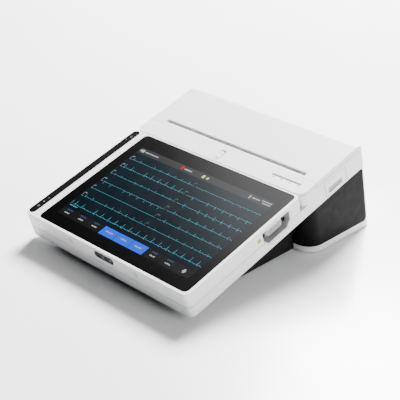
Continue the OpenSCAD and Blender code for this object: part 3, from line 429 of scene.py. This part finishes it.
def screen_menu():
    """Nine menu tiles, the middle three of them blue, with plain marks in place of words."""
    pitch = (FIELD[2] - FIELD[0]) / 9
    tiles, blues, marks, dims = bmesh.new(), bmesh.new(), bmesh.new(), bmesh.new()
    rng = random.Random(4)
    for i in range(9):
        u0 = FIELD[0] + i * pitch
        blue = 3 <= i <= 5
        tile = rounded(u0 + 0.25, FIELD[1], u0 + pitch - 0.25, MENU_V - 1, 0.4)
        slab(blues if blue else tiles, tile, 0.0, SKIN)
        mid = u0 + pitch / 2
        if i == 8:
            slab(marks, rounded(mid - 2.2, 22.4, mid + 2.2, 24.6, 0.5), SKIN, 2 * SKIN)
            slab(marks, rounded(mid - 1.4, 25.0, mid + 1.4, 26.4, 0.3), SKIN, 2 * SKIN)
            slab(marks, rounded(mid - 1.4, 20.8, mid + 1.4, 22.0, 0.3), SKIN, 2 * SKIN)
            continue
        base = 23.4 if blue else 21.4
        half = rng.uniform(3.6, 5.6)
        u = mid - half
        while u < mid + half - 0.6:
            step = rng.uniform(0.7, 1.5)
            slab(marks, rounded(u, base, u + step, base + rng.choice((1.3, 1.9)), 0.25), SKIN, 2 * SKIN)
            u += step + 0.35
        if not blue:
            slab(dims, rounded(mid - half - 1, 26.4, mid + half + 0.6, 28.4, 0.6), SKIN, 2 * SKIN)
    add_piece("screen_menu_tiles", tiles, "menu")
    add_piece("screen_menu_keys", blues, "blue")
    add_piece("screen_menu_marks", marks, "text")
    add_piece("screen_menu_hints", dims, "dim")


# Where the beats stand in mm across the screen, on the upper rows and on the rhythm row
BEATS = [22.9, 34.7, 58.1, 69.4, 81.5, 93.1, 104.9, 116.6, 128.3, 139.9, 162.9, 174.7, 186.7, 198.4,
         210.2, 222.1]
RHYTHM = [22.9, 34.7, 56.5, 68.3, 80.1, 92.0, 104.0, 115.7, 127.8, 139.7, 151.6, 163.3, 175.2, 187.0, 199.0,
          210.9, 222.3]
# Baseline, then the beat's [P, Q, R, S, T] heights in mm of the left half and of the right half
ROWS = [
    (135.0, (0.5, -0.3, 3.6, -0.8, 0.9), (0.3, -0.2, 0.5, -1.8, 0.4)),
    (118.6, (0.8, -0.4, 6.8, -1.2, 1.4), (0.5, -0.2, 2.0, -3.6, 1.0)),
    (102.8, (0.5, -0.3, 2.6, -1.2, 0.8), (0.6, -0.4, 3.6, -2.8, 1.2)),
    (86.6, (-0.5, 0.3, -4.8, 0.6, -0.9), (0.6, -0.4, 4.0, -1.2, 1.2)),
    (70.5, (0.1, 0.0, 0.2, -0.1, 0.1), (0.6, -0.4, 3.8, -1.0, 1.1)),
    (54.4, (0.6, -0.3, 4.0, -0.8, 1.0), (0.5, -0.3, 2.8, -0.8, 0.8)),
]
RHYTHM_V = 37.6
RHYTHM_WAVE = (0.8, -0.4, 7.2, -1.0, 1.4)
LEFT_U = 20.5
MID_U = 122.6
RIGHT_U = 229
LINE_W = 0.29
RHYTHM_LINE_W = 0.33


def wave(base, u0, u1, beats, heights, rng):
    """One lead's line from u0 to u1: a slightly uneven baseline with P, QRS and T at each beat."""
    p, q, r, s, t = heights
    shape = [(-3.2, 0), (-2.4, p), (-1.6, 0), (-0.7, q), (0, r), (0.55, s), (1.1, 0), (2.4, 0.1 * t),
             (3.5, t), (4.6, 0.1 * t)]
    line = [(u0, base)]
    for b in beats:
        for du, h in shape:
            u = b + du
            if line[-1][0] + 0.2 < u < u1 - 0.3:
                line.append((u, base + h + rng.uniform(-0.12, 0.12)))
    line.append((u1, base))
    full = []
    for (ua, va), (ub, vb) in zip(line, line[1:]):
        full.append((ua, va))
        gap = ub - ua
        if gap > 3:
            for k in range(1, int(gap / 1.5)):
                full.append((ua + 1.5 * k, va + (vb - va) * 1.5 * k / gap + rng.uniform(-0.15, 0.15)))
    full.append(line[-1])
    return full


def screen_traces():
    """Six rows of two leads and the rhythm row, each lead with a plain mark where its name was."""
    rng = random.Random(11)
    bm, near, far = bmesh.new(), bmesh.new(), bmesh.new()
    for base, left, right in ROWS:
        early = [b for b in BEATS if b < MID_U - 2]
        late = [b for b in BEATS if b > MID_U + 6]
        ribbon(bm, wave(base, LEFT_U, MID_U, early, left, rng), LINE_W, SKIN, 2 * SKIN)
        ribbon(bm, wave(base, MID_U + 6, RIGHT_U, late, right, rng), LINE_W, SKIN, 2 * SKIN)
        for marks, u in ((near, 16.2), (far, MID_U + 0.6)):
            height = rng.uniform(5.5, 6.8)
            slab(marks, rounded(u, base - 0.6, u + 0.6, base + height, 0.2), SKIN, 2 * SKIN)
            end = u + rng.uniform(2.6, 5.4)
            slab(marks, rounded(u + 1.2, base + height - 1.6, end, base + height, 0.4), SKIN, 2 * SKIN)
            slab(marks, rounded(u + 0.8, base - 0.6, u + 3.2, base + 0.1, 0.2), SKIN, 2 * SKIN)
    rhythm = wave(RHYTHM_V, LEFT_U, RIGHT_U, RHYTHM, RHYTHM_WAVE, rng)
    ribbon(bm, rhythm, RHYTHM_LINE_W, SKIN, 2 * SKIN)
    slab(near, rounded(16.2, RHYTHM_V - 0.6, 16.8, RHYTHM_V + 6, 0.2), SKIN, 2 * SKIN)
    for i in range(7):
        slab(bm, rounded(17.5 + 1.9 * i, 34.6 - 0.5 * (i % 2), 18.8 + 1.9 * i, 35.6, 0.3), SKIN, 2 * SKIN)
    add_piece("screen_traces", bm, "trace")
    add_piece("screen_lead_marks", near, "mark")
    add_piece("screen_lead_marks_right", far, "faint")


def screen_status():
    """The marks in the screen's header."""
    rng = random.Random(7)
    white, red, lime = bmesh.new(), bmesh.new(), bmesh.new()

    def dashes(u, v, end, height):
        while u < end:
            step = rng.uniform(0.8, 1.8)
            slab(white, rounded(u, v, u + step, v + height, 0.25), SKIN, 2 * SKIN)
            u += step + 0.4

    slab(white, rounded(16.5, 152.2, 18.2, 155.4, 0.4), SKIN, 2 * SKIN)
    slab(white, rounded(19.0, 151.4, 23.4, 156.2, 1.2), SKIN, 2 * SKIN)
    dashes(25.5, 152.8, 47.5, 1.7)
    slab(red, rounded(86.4, 151.2, 91.2, 157.0, 2.2), SKIN, 2 * SKIN)
    dashes(92.8, 152.6, 104.0, 2.0)
    slab(lime, rounded(121.6, 151.2, 125.4, 156.4, 1.5), SKIN, 2 * SKIN)
    slab(white, rounded(128.4, 151.6, 132.0, 155.8, 1.2), SKIN, 2 * SKIN)
    slab(white, rounded(195.4, 150.8, 197.2, 156.4, 0.5), SKIN, 2 * SKIN)
    dashes(200.0, 152.8, 211.0, 1.9)
    dashes(213.4, 154.4, 227.5, 1.6)
    dashes(215.8, 151.2, 227.5, 1.6)
    add_piece("screen_status_marks", white, "text")
    add_piece("screen_heart_mark", red, "red")
    add_piece("screen_lead_off_mark", lime, "lime_light")


screen_field()
screen_menu()
screen_traces()
screen_status()

# ---------------------------------------------------------------- printed marks on the casing


def strip_icons():
    """Three small plain marks at the front of the strip: a box, a bar and an arrow head."""
    lo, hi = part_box("indicator_strip")
    u = ((lo.x + hi.x) / 2 - CORNER.x) / MM
    bm = bmesh.new()
    battery = [(u - 1.1, 12.4), (u + 1.1, 12.4), (u + 1.1, 14.4), (u - 1.1, 14.4), (u - 1.1, 12.6)]
    ribbon(bm, battery, 0.45, -0.01, SKIN)
    slab(bm, rounded(u - 0.6, 21.0, u + 0.6, 23.2, 0.3), -0.01, SKIN)
    ribbon(bm, [(u - 0.9, 29.0), (u, 30.2), (u + 0.9, 29.0)], 0.4, -0.01, SKIN)
    add_piece("strip_marks", bm, "icon_dark")


def key_mark():
    """An open ring and a stroke on the power key. They move with the key."""
    lo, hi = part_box("power_key")
    u = ((lo.x + hi.x) / 2 - CORNER.x) / MM
    v = 168.2
    bm = bmesh.new()
    turns = [math.radians(a) for a in range(40, 321, 20)]
    arc = [(u + 1.5 * math.sin(a), v + 1.5 * math.cos(a)) for a in turns]
    ribbon(bm, arc, 0.3, -0.11, -0.06)
    ribbon(bm, [(u, v + 0.3), (u, v + 2.0)], 0.3, -0.11, -0.06)
    add_piece("power_key_mark", bm, "icon_dark", "key")


def deck_icons():
    """A small plain mark behind each of the four lights."""
    bm = bmesh.new()
    for i in range(4):
        u = 195.5 + 11.9 * i
        ribbon(bm, [(u - 1.2, 204.0), (u + 1.2, 204.0)], 0.35, -0.01, SKIN)
        if i % 2:
            ribbon(bm, [(u, 202.8), (u, 205.2)], 0.35, -0.01, SKIN)
        else:
            ribbon(bm, [(u - 0.9, 205.0), (u + 0.9, 205.0)], 0.35, -0.01, SKIN)
    add_piece("deck_marks", bm, "icon_dark")


strip_icons()
key_mark()
deck_icons()


def on_side(v, w, x):
    """A point at world x, over a place in mm on the slope's side view."""
    p = at(0, v, w)
    p.x = x
    return p


def side_plate(name, points, x, depth, mat, body="root"):
    """A thin plate on a side face: an outline as [v, w] in mm of the slope, at world x."""
    bm = bmesh.new()
    rows = []
    for dx in (0.0, depth):
        rows.append([bm.verts.new(on_side(v, w, x + dx * MM)) for v, w in points])
    bm.faces.new(rows[0])
    bm.faces.new(list(reversed(rows[1])))
    n = len(points)
    for i in range(n):
        bm.faces.new((rows[0][i], rows[0][(i + 1) % n], rows[1][(i + 1) % n], rows[1][i]))
    return add_piece(name, bm, mat, body)


SIDE_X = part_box("display_frame")[1].x
side_plate("connector_colour_mark", rounded(106.2, -12.2, 111.6, -6.9, 1.2), SIDE_X - 0.02 * MM, 0.04,
           "lime")


def pocket_painted_shade():
    """Painted shade: a grey sheet on the floor and rear end of the connector's pocket, where the pocket lies in
    shade.
    """
    path = [(121.9, -22.5), (153.0, -22.5), (160.0, -15.5), (160.0, -4.2)]
    inner = [(159.94, -4.2), (159.94, -15.47), (152.97, -22.44), (121.9, -22.44)]
    side_plate("connector_pocket_painted_shade", path + inner, SIDE_X - 0.4 * MM, -10.0, "painted_shade")


pocket_painted_shade()
# Painted shade: a grey sheet on the floor of the port flap's finger pull, where the scoop lies in shade
side_plate("flap_pull_painted_shade", rounded(227.7, -26.8, 252.3, -20.2, 0.3), SIDE_X - 1.21 * MM, 0.04,
           "painted_shade", "flap")


# Dark strips of painted shade lie in the gaps, this far under the surface
SHADE_STRIP_TOP, SHADE_STRIP_FLOOR = -0.12, -0.9


def box_outline(x0, y0, x1, y1):
    return [(x0, y0), (x1, y0), (x1, y1), (x0, y1)]


def side_shade_strip(name, outline):
    # Painted shade: a dark strip sunk in a gap on the side
    side_plate(name, outline, SIDE_X + SHADE_STRIP_TOP * MM, SHADE_STRIP_FLOOR, "rubber")


def gap_shade_strips():
    """Painted shade: dark strips in the gaps beside the port flap, and under and in front of the paper door, that
    make the seams read as shaded lines.
    """
    side_shade_strip("flap_gap_shade_front", box_outline(221.98, -29.4, 222.42, -11.4))
    side_shade_strip("flap_gap_shade_rear", box_outline(260.08, -29.4, 260.52, -11.4))
    side_shade_strip("door_gap_shade_right", box_outline(211.5, -5.93, 272.0, -5.57))
    bm = bmesh.new()
    slab(bm, box_outline(226.4, 209.04, 246.5, 209.26), SHADE_STRIP_FLOOR, SHADE_STRIP_TOP)
    add_piece("door_gap_shade_front", bm, "rubber")


gap_shade_strips()

# The patient connector's contacts: middle on the slope, pitch, and half the distance between the rows
CONTACT_V, CONTACT_W = 138.5, -15.2
CONTACT_PITCH = 2.76
CONTACT_ROW = 1.42


def contact_hole_shades():
    """Painted shade: a dark ring round each hole of the patient connector, where the hole's mouth lies in shade.
    """
    face_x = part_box("connector_insert")[1].x
    bm = bmesh.new()
    for count, row in ((8, CONTACT_ROW), (7, -CONTACT_ROW)):
        for i in range(count):
            v = CONTACT_V + (i - (count - 1) / 2) * CONTACT_PITCH
            flat_ring(bm, on_side, (v, CONTACT_W + row), 1.15, 0.8, (face_x + 0.03 * MM, face_x - 0.03 * MM))
    add_piece("connector_contact_hole_shades", bm, "black")


contact_hole_shades()


def window_lights():
    """Two light rings on the face of the front window."""
    bm = bmesh.new()
    for u in (115.5, 127.0):
        flat_ring(bm, lambda x, w, v: at(x, v, w), (u, -7.5), 1.3, 0.9, (-3.9, -3.94))
    add_piece("front_window_rings", bm, "icon")


window_lights()

# ---------------------------------------------------------------- coil springs


def coil(name, node, count, radius, wire, turns, axis, body, mat="steel"):
    """Coil springs in place of the tubes that stand for them: one per separate tube of the node."""
    obj = NODES[node]
    verts = [v.co.copy() for v in obj.data.vertices]
    groups = []
    for co in sorted(verts, key=lambda c: c.x):
        if groups and co.x - groups[-1][-1].x < 2 * MM:
            groups[-1].append(co)
        else:
            groups.append([co])
    bm = bmesh.new()
    for g in groups[:count]:
        mid = sum(g, Vector()) / len(g)
        reach = [(c - mid).dot(axis) for c in g]
        lo, hi = min(reach), max(reach)
        side = Vector((1, 0, 0))
        other = axis.cross(side)
        steps, ring = turns * 20, 8
        last = None
        for i in range(steps + 1):
            a = 2 * math.pi * turns * i / steps
            out = side * math.cos(a) + other * math.sin(a)
            height = lo + wire + (hi - lo - 2 * wire) * i / steps
            centre = mid + axis * height + out * (radius - wire)
            loop = [bm.verts.new(centre + out * wire * math.cos(b) + axis * wire * math.sin(b))
                    for b in (2 * math.pi * k / ring for k in range(ring))]
            if last:
                for k in range(ring):
                    bm.faces.new((last[k], last[(k + 1) % ring], loop[(k + 1) % ring], loop[k]))
            else:
                bm.faces.new(loop)
            last = loop
        bm.faces.new(list(reversed(last)))
    piece = add_piece(name, bm, mat, body, smooth=True)
    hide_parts(node)
    return piece


along = Vector((0, COS, SIN))
head_coils = coil("head_spring_coils", "head_springs", 4, 1.1 * MM, 0.22 * MM, 8, along, "root")
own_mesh(head_coils)
latch_coils = coil("latch_spring_coils", "latch_spring", 2, 1.0 * MM, 0.2 * MM, 12, along, "root")
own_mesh(latch_coils)

# ---------------------------------------------------------------- stage, light and camera


def floor():
    bm = bmesh.new()
    bmesh.ops.create_grid(bm, x_segments=1, y_segments=1, size=6)
    mesh = bpy.data.meshes.new("floor")
    bm.to_mesh(mesh)
    bm.free()
    obj = bpy.data.objects.new("floor", mesh)
    obj.location.z = -0.0002
    bpy.context.scene.collection.objects.link(obj)
    m, nt, bsdf = new_material("floor")
    coords = nt.nodes.new("ShaderNodeTexCoord").outputs["Object"]
    colour = ramp(nt, noise(nt, coords, 3.0), [(0.3, (0.92, 0.922, 0.93)), (0.7, (0.94, 0.942, 0.95))])
    nt.links.new(colour, bsdf.inputs["Base Color"])
    nt.links.new(spread(nt, noise(nt, coords, 12.0), 0.2, 0.26), bsdf.inputs["Roughness"])
    mesh.materials.append(m)


def area(name, place, target, size, power, colour=(1, 1, 1)):
    light = bpy.data.lights.new(name, "AREA")
    light.shape = "RECTANGLE"
    light.size, light.size_y = size
    light.energy = power
    light.color = colour
    obj = bpy.data.objects.new(name, light)
    obj.location = place
    obj.rotation_euler = (Vector(target) - Vector(place)).to_track_quat("-Z", "Y").to_euler()
    bpy.context.scene.collection.objects.link(obj)


floor()
area("key", (-0.8, 1.95, 2.05), (0, 0, 0.05), (1.2, 1.2), 600)
area("right_fill", (2.4, 0.2, 0.9), (0, 0, 0.06), (1.0, 1.0), 31)

world = bpy.data.worlds.new("studio")
world.use_nodes = True
sky = world.node_tree
aim = sky.nodes.new("ShaderNodeTexCoord").outputs["Generated"]


def sky_part(towards, start, end, low, high):
    """Light from low to high, as the look direction along towards goes from start to end."""
    dot = sky.nodes.new("ShaderNodeVectorMath")
    dot.operation = "DOT_PRODUCT"
    dot.inputs[1].default_value = towards
    sky.links.new(aim, dot.inputs[0])
    run = sky.nodes.new("ShaderNodeMapRange")
    run.interpolation_type = "SMOOTHSTEP"
    run.inputs["From Min"].default_value = start
    run.inputs["From Max"].default_value = end
    run.inputs["To Min"].default_value = low
    run.inputs["To Max"].default_value = high
    sky.links.new(dot.outputs["Value"], run.inputs["Value"])
    return run.outputs["Result"]


def sky_math(operation, a, b):
    node = sky.nodes.new("ShaderNodeMath")
    node.operation = operation
    sky.links.new(a, node.inputs[0])
    sky.links.new(b, node.inputs[1])
    return node.outputs[0]


rear = sky_part((0.3, 1.0, 0.0), -0.15, 0.45, 0.025, 0.74)
right = sky_part((1.0, 0.6, 0.0), -0.59, -0.33, 0.04, 1.2)
spot = sky_part(Vector((-0.53, 0.42, 0.74)).normalized(), 0.984, 1.0, 0.0, 1.2)
strength = sky_math("ADD", sky_math("MULTIPLY", rear, right), spot)
sky.links.new(strength, sky.nodes["Background"].inputs["Strength"])
sky.nodes["Background"].inputs["Color"].default_value = (1.0, 1.0, 1.0, 1)
bpy.context.scene.world = world

# The camera's place from the glass's front corner and its direction of view, solved from the photo
CAMERA_OFFSET = Vector((918.7, -669.8, 592.4)) * MM
CAMERA_VIEW = Vector((-0.6234, 0.6366, -0.4541))

camera = bpy.data.objects.new("camera", bpy.data.cameras.new("camera"))
bpy.context.scene.collection.objects.link(camera)
camera.location = CORNER + CAMERA_OFFSET
camera.rotation_mode = "QUATERNION"
camera.rotation_quaternion = CAMERA_VIEW.to_track_quat("-Z", "Y")
camera.data.sensor_width = 36
camera.data.lens = 98.2
camera.data.clip_start, camera.data.clip_end = 0.05, 50
bpy.context.scene.camera = camera
